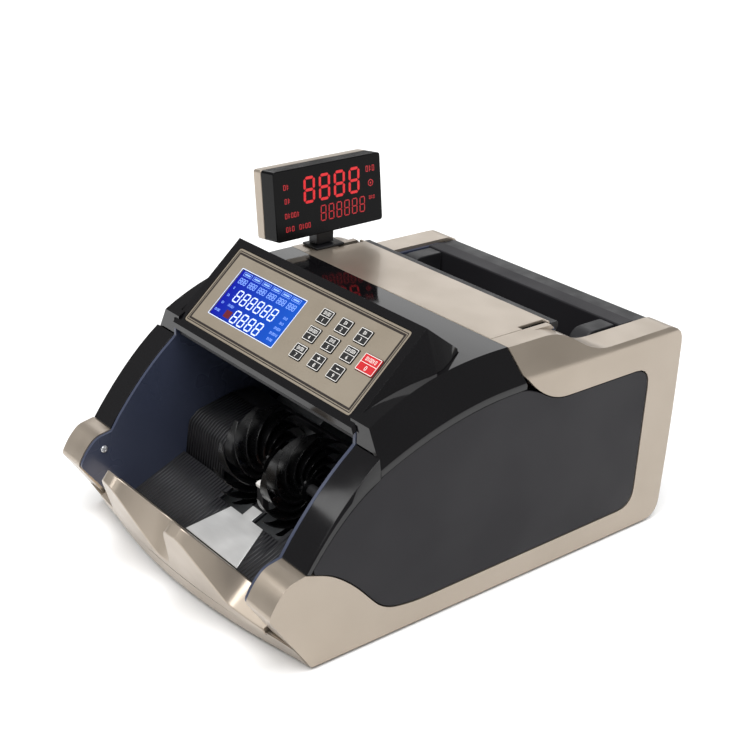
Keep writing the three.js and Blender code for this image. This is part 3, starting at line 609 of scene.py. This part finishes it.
def bumper_ends():
    """Closes the thin wedge between the bumper and each side shell."""
    half, lean, back = 130, 0.682, 0.8       # half the machine's width, the front's lean, the inner face
    section = [(9, 1), (15.8, 1), (16.7, 0.7), (16.7, 0), (9, 0)]    # height, and how far out to the bow
    stations = (102.8, 104.5, 108, 112, 116, 120, 124, 127)
    for side, word in ((-1, "left"), (1, "right")):
        verts = []
        for x in stations:
            bow = (1 - (x / half) ** 2) ** 1.25
            for z, out in section:
                depth = (0.3 - (17.6 - 0.36 * z) * bow) * out if out else back
                verts.append((side * x, depth - lean * z, z))
        last = 5 * len(stations) - 5
        faces = [tuple(range(5)), tuple(range(last, last + 5))] + skin(len(stations), 5)
        made = piece(f"bumper_end_{word}", verts, faces, LOOKS["shell_gold"], "chassis", "shell_gold",
                     MACHINE)
        edge_round(made, 0.2, angle=40, segments=2)


def shaft_sleeve():
    """The brown rubber sleeve on the shaft between the two wheels, with a shallow groove at each end."""
    profile = [(5, -7), (7.3, -7), (7.9, -6.5), (7.9, -5), (7.55, -4.8), (7.55, -4.3), (7.9, -4.1)]
    profile += [(r, -x) for r, x in reversed(profile)]
    made = piece("shaft_sleeve", *turned(profile), LOOKS["brown_rubber"], BODY_OF["stacker_shaft"],
                 "brown_rubber", MACHINE)
    edge_round(made, 0.1, angle=40, segments=2)


def tray_sensor():
    """A black post behind the bright plate, with a pale cap facing the notes."""
    def block(name, rows, mat):
        """A stack of rectangles, each as half its width, its front and back y, and its height."""
        verts = [(x, y, z) for half, y0, y1, z in rows
                 for x, y in ((-half, y0), (half, y0), (half, y1), (-half, y1))]
        last = 4 * len(rows) - 4
        faces = [(0, 1, 2, 3), tuple(range(last, last + 4))] + skin(len(rows), 4)
        edge_round(piece(name, verts, faces, mat, "chassis", "matte_black", MACHINE), 0.4, angle=30)
    block("tray_sensor_post", [(4.2, 50.6, 56, 32), (3.4, 51, 55.6, 40), (3.1, 50.6, 55.8, 49.4)],
          LOOKS["matte_black"])
    block("tray_sensor_cap", [(3.5, 50.2, 56.2, 49.6), (3.6, 49.8, 56.2, 52), (2.8, 51.2, 55.6, 54)],
          WHITE_INK)


def screw(name, matrix, radius):
    """A pan-head screw with a cross recess; its axis is the matrix's Z."""
    around, recess, grow = 32, 0.45, radius / 2
    rings = [(1, 0), (1, 0.25), (0.94, 0.55), (0.7, 0.85), (0.42, 0.98)]     # of the radius, and height
    verts = []
    for part, z in rings:
        for i in range(around):
            a = i / around * math.tau
            cross = abs(math.cos(2 * a)) > 0.9 and part < 0.8
            verts.append((part * radius * math.cos(a), part * radius * math.sin(a),
                          (z - recess if cross else z) * grow))
    tip, last = len(verts), len(verts) - around
    verts.append((0, 0, 0.5 * grow))
    faces = skin(len(rings), around)
    faces += [(last + i, last + (i + 1) % around, tip) for i in range(around)]
    faces.append(tuple(range(around))[::-1])
    return piece(name, verts, faces, EDGE_STEEL, "chassis", "steel", matrix)


def screws():
    for side, word in ((-1, "left"), (1, "right")):
        screw(f"plate_screw_{word}", MACHINE @ move(side * 102.5, -12, 55) @ turn(-90 * side, "Y"), 2.6)
        screw(f"cover_screw_{word}", MACHINE @ move(side * 99, 203, 163.6), 1.8)
    for k, (x, z) in enumerate([(-98, 10), (98, 10), (-98, 46), (98, 46)]):
        screw(f"rear_screw_{k + 1}", MACHINE @ move(x, REAR, z) @ turn(-90, "X"), 2.6)


# ------------------------------------------------------------------ keypad
def keypad_lines():
    border = Sheet(0.06)
    frame_ring(border, 0, 0, 187.0, 62.0, 0.7, 1.0)
    frame_ring(border, 0, 0, 184.4, 59.4, 1.6, 0.6)
    border.make("keypad_border", BROWN_INK, "chassis", "pad_metal", PAD)
    rim = Sheet(0.1, -0.02)
    frame_ring(rim, *LCD_AT, LCD_SIZE[0] + 1.0, LCD_SIZE[1] + 1.0, 0.5, 0.6)
    rim.make("lcd_rim", LCD_WHITE, "chassis", "lcd", PAD)


def marks(sheet, count, x, y, w, h, thick):
    """A row of plain rings and bars, w wide and h high each, centred on x, y."""
    pitch = w * 1.32
    for i in range(count):
        at = x + (i - (count - 1) / 2) * pitch
        if i % 3 == 1:
            sheet.add(box_loop(at - w * 0.2, y, thick, h))
            sheet.add(box_loop(at + w * 0.16, y + h * 0.2, w * 0.4, thick))
            sheet.add(box_loop(at + w * 0.16, y - h * 0.2, w * 0.4, thick))
        else:
            frame_ring(sheet, at, y, w, h, thick, w * 0.22)


def icon(sheet, number, x, y):
    """A plain sign for a key's upper half."""
    if number == 8:
        sheet.add(box_loop(x, y, 2.8, 0.6))
        sheet.add(box_loop(x, y + 0.85, 0.6, 1.1))
        sheet.add(box_loop(x, y - 0.85, 0.6, 1.1))
    elif number == 9:
        sheet.add(box_loop(x, y, 2.8, 0.6))
    elif number == 0:
        marks(sheet, 6, x, y, 1.35, 2.7, 0.32)
    else:
        marks(sheet, (4, 2, 2, 5, 3, 5, 4)[number - 1], x, y, 1.3, 2.5, 0.32)


def key_legends():
    """A white outline, a bar, a plain sign and the key's digit on each cap."""
    top = 0.78                               # the cap's top, above the plate
    grid = [(row * 3 + col + 1, x, y, KEY_SIZE)
            for row, y in enumerate(KEY_ROWS) for col, x in enumerate(KEY_COLUMNS)]
    for number, x, y, (w, h) in [*grid, (0, *RED_AT, RED_SIZE)]:
        sheet = Sheet(0.07, top)
        frame_ring(sheet, x, y, w - 0.3, h - 0.3, 0.42, 0.9)
        sheet.add(box_loop(x, y, w - 1.1, 0.36))
        icon(sheet, number, x, y + h * 0.235)
        verts, faces = character(str(number), h * 0.36, x, y - h * 0.24, sheet.height, top)
        k = len(sheet.verts)
        sheet.verts += verts
        sheet.faces += [tuple(i + k for i in f) for f in faces]
        slot = "key_black" if number else "key_red"
        sheet.make(f"key_legend_{number}", WHITE_INK, f"button_{number}", slot, PAD)


def lcd_contents():
    """All the segments lit, and rows of plain marks for the words beside them."""
    lens = PAD @ move(*LCD_AT, -0.5)
    mark = (1.1, 1.9, 0.26)                  # width, height and thickness
    small = Sheet(0.04)
    for i in range(6):
        x = -29.5 + 11.6 * i
        frame_ring(small, x, 16.9, 9.6, 3.2, 0.3, 0.3)
        small.add(box_loop(x, 16.9, 6.6, 1.2, 0.3))
        for k in (-1, 0, 1):
            eight(small, x + 3.1 * k, 11.2, 2.6, 4.7, 0.5, 0.05, 0.04)
    for i, count in enumerate((1, 2, 2, 4)):
        marks(small, count, -33.0, 4.6 - 6.4 * i, *mark)
    for i, count in enumerate((3, 3, 5, 6, 4)):
        marks(small, count, 31.0, 2.4 - 4.4 * i, *mark)
    marks(small, 5, -23.0, -8.0, *mark)
    small.make("lcd_small_segments", LCD_PALE, "chassis", "lcd", lens)
    large = Sheet(0.05)
    for i in range(6):
        eight(large, -23.3 + 8.35 * i, 0.4, 6.2, 10.0, 0.95, 0.06, 0.16)
    for i in range(4):
        eight(large, -11.8 + 8.9 * i, -13.2, 6.6, 10.4, 1.05, 0.06, 0.16)
    large.make("lcd_large_segments", LCD_WHITE, "chassis", "lcd", lens)
    patch = Sheet(0.04)
    patch.add(box_loop(-20.4, -14.2, 7.2, 5.8, 0.5))
    patch.make("lcd_patch", LCD_RED, "chassis", "lcd", lens)


# ------------------------------------------------------------------ customer display
def display_face():
    body = BODY_OF["display_bezel"]
    bright = Sheet(0.05)
    for i in range(4):
        eight(bright, -18.6 + 14.2 * i, 31.0, 10.6, 19.8, 2.1, 0.05, 0.45)
    bright.make("display_large_segments", LED_RED, body, "gloss_black", FACE)
    dim = Sheet(0.05)
    for i in range(6):
        eight(dim, -6.6 + 7.5 * i, 11.6, 5.3, 12.0, 0.85, 0.05, 0.22)
    for y, x, count in ((36.0, -39.6, 2), (25.8, -39.2, 2), (15.0, -35.6, 5), (5.0, -38.2, 3),
                        (5.0, -24.6, 4)):
        marks(dim, count, x, y, 2.1, 3.9, 0.55)
    marks(dim, 3, 40, 37.6, 2.3, 4.6, 0.6)
    marks(dim, 3, 40.6, 15.6, 1.5, 2.8, 0.42)
    dim.ring(circle(40, 26.6, 2.6), circle(40, 26.6, 1.9))
    dim.add(box_loop(40, 26.6, 1.5, 1.5, 0.5))
    dim.make("display_small_segments", LED_DIM, body, "gloss_black", FACE)


# ------------------------------------------------------------------ back
def back_details():
    louvres = Sheet(1.0, -0.2)
    for i in range(9):
        louvres.add(box_loop(0, 66 + i * 7, 120, 2.4, 1.1))
    facing = MACHINE @ move(0, REAR, 0) @ turn(180, "Z") @ UPRIGHT
    made = louvres.make("rear_door_louvres", LOOKS["matte_black"], BODY_OF["rear_door"], "matte_black",
                        facing)
    edge_round(made, 0.4, angle=40, segments=2)
    sign = Sheet(0.08)
    sign.add(box_loop(0, 4.6, 0.7, 3.2, 0.2))
    sign.ring(circle(0, -5, 1.7), circle(0, -5, 1.2))
    rocker = MACHINE @ move(-34, 317.1, 28) @ turn(180, "Z") @ UPRIGHT @ turn(-5, "X")
    sign.make("rocker_signs", WHITE_INK, BODY_OF["power_switch"], "gloss_black", rocker)


# ------------------------------------------------------------------ set, light and camera
def softbox(name, at, size, power):
    light = bpy.data.lights.new(name, "AREA")
    light.shape = "RECTANGLE"
    light.size, light.size_y = size
    light.energy = power
    lamp = placed(name, light)
    lamp.location = at
    lamp.rotation_euler = (Vector((0, 0, 0.08)) - Vector(at)).to_track_quat("-Z", "Y").to_euler()


def studio():
    """A pale floor, soft light, and a camera at the photograph's viewing angle; in metres."""
    scene = bpy.context.scene
    scene.view_settings.view_transform = "Standard"
    size = 60.0
    corners = [(-size, -size, 0), (size, -size, 0), (size, size, 0), (-size, size, 0)]
    floor = bpy.data.meshes.new("studio_floor")
    floor.from_pydata(corners, [], [(0, 1, 2, 3)])
    obj = placed("studio_floor", floor)
    pale = Paint("pale_floor", linear(252, 252, 252), 0.7, specular=0.1)
    pale.vary_rough(0.65, 0.75, 8)
    floor.materials.append(pale.mat)
    world = bpy.data.worlds.new("studio_world")
    world.use_nodes = True
    world.node_tree.nodes["Background"].inputs["Color"].default_value = (1, 1, 1, 1)
    world.node_tree.nodes["Background"].inputs["Strength"].default_value = 0.22
    scene.world = world

    sun = bpy.data.lights.new("overhead_diffuser", "SUN")
    sun.energy = 3.5
    sun.angle = math.radians(55)
    lamp = placed("overhead_diffuser", sun)
    lamp.rotation_euler = Vector((-0.3, 0.25, -1)).to_track_quat("-Z", "Y").to_euler()
    softbox("back_softbox", (-1.55, 1.25, 1.05), (1.9, 1.1), 8)
    softbox("front_softbox", (-0.75, -1.45, 1.35), (1.3, 0.7), 8)

    camera = bpy.data.cameras.new("camera")
    camera.lens = 65.47
    camera.sensor_width = 36
    cam = placed("camera", camera)
    azimuth, elevation, roll = (math.radians(a) for a in (50.59, 24.34, 1.85))
    back = Vector((math.sin(azimuth) * math.cos(elevation), -math.cos(azimuth) * math.cos(elevation),
                   math.sin(elevation)))
    look = (-back).to_track_quat("-Z", "Y").to_matrix().to_4x4()
    cam.matrix_world = move(0.67848, -0.54583, 0.50837) @ look @ Matrix.Rotation(roll, 4, "Z")
    scene.camera = cam


dress_nodes()
soft_shell("right", 1)
soft_shell("left", -1)
paddle_wheel(1)
paddle_wheel(-1)
floor_ribs()
back_ribs()
bumper_ends()
shaft_sleeve()
tray_sensor()
screws()
keypad_lines()
key_legends()
lcd_contents()
display_face()
back_details()
studio()
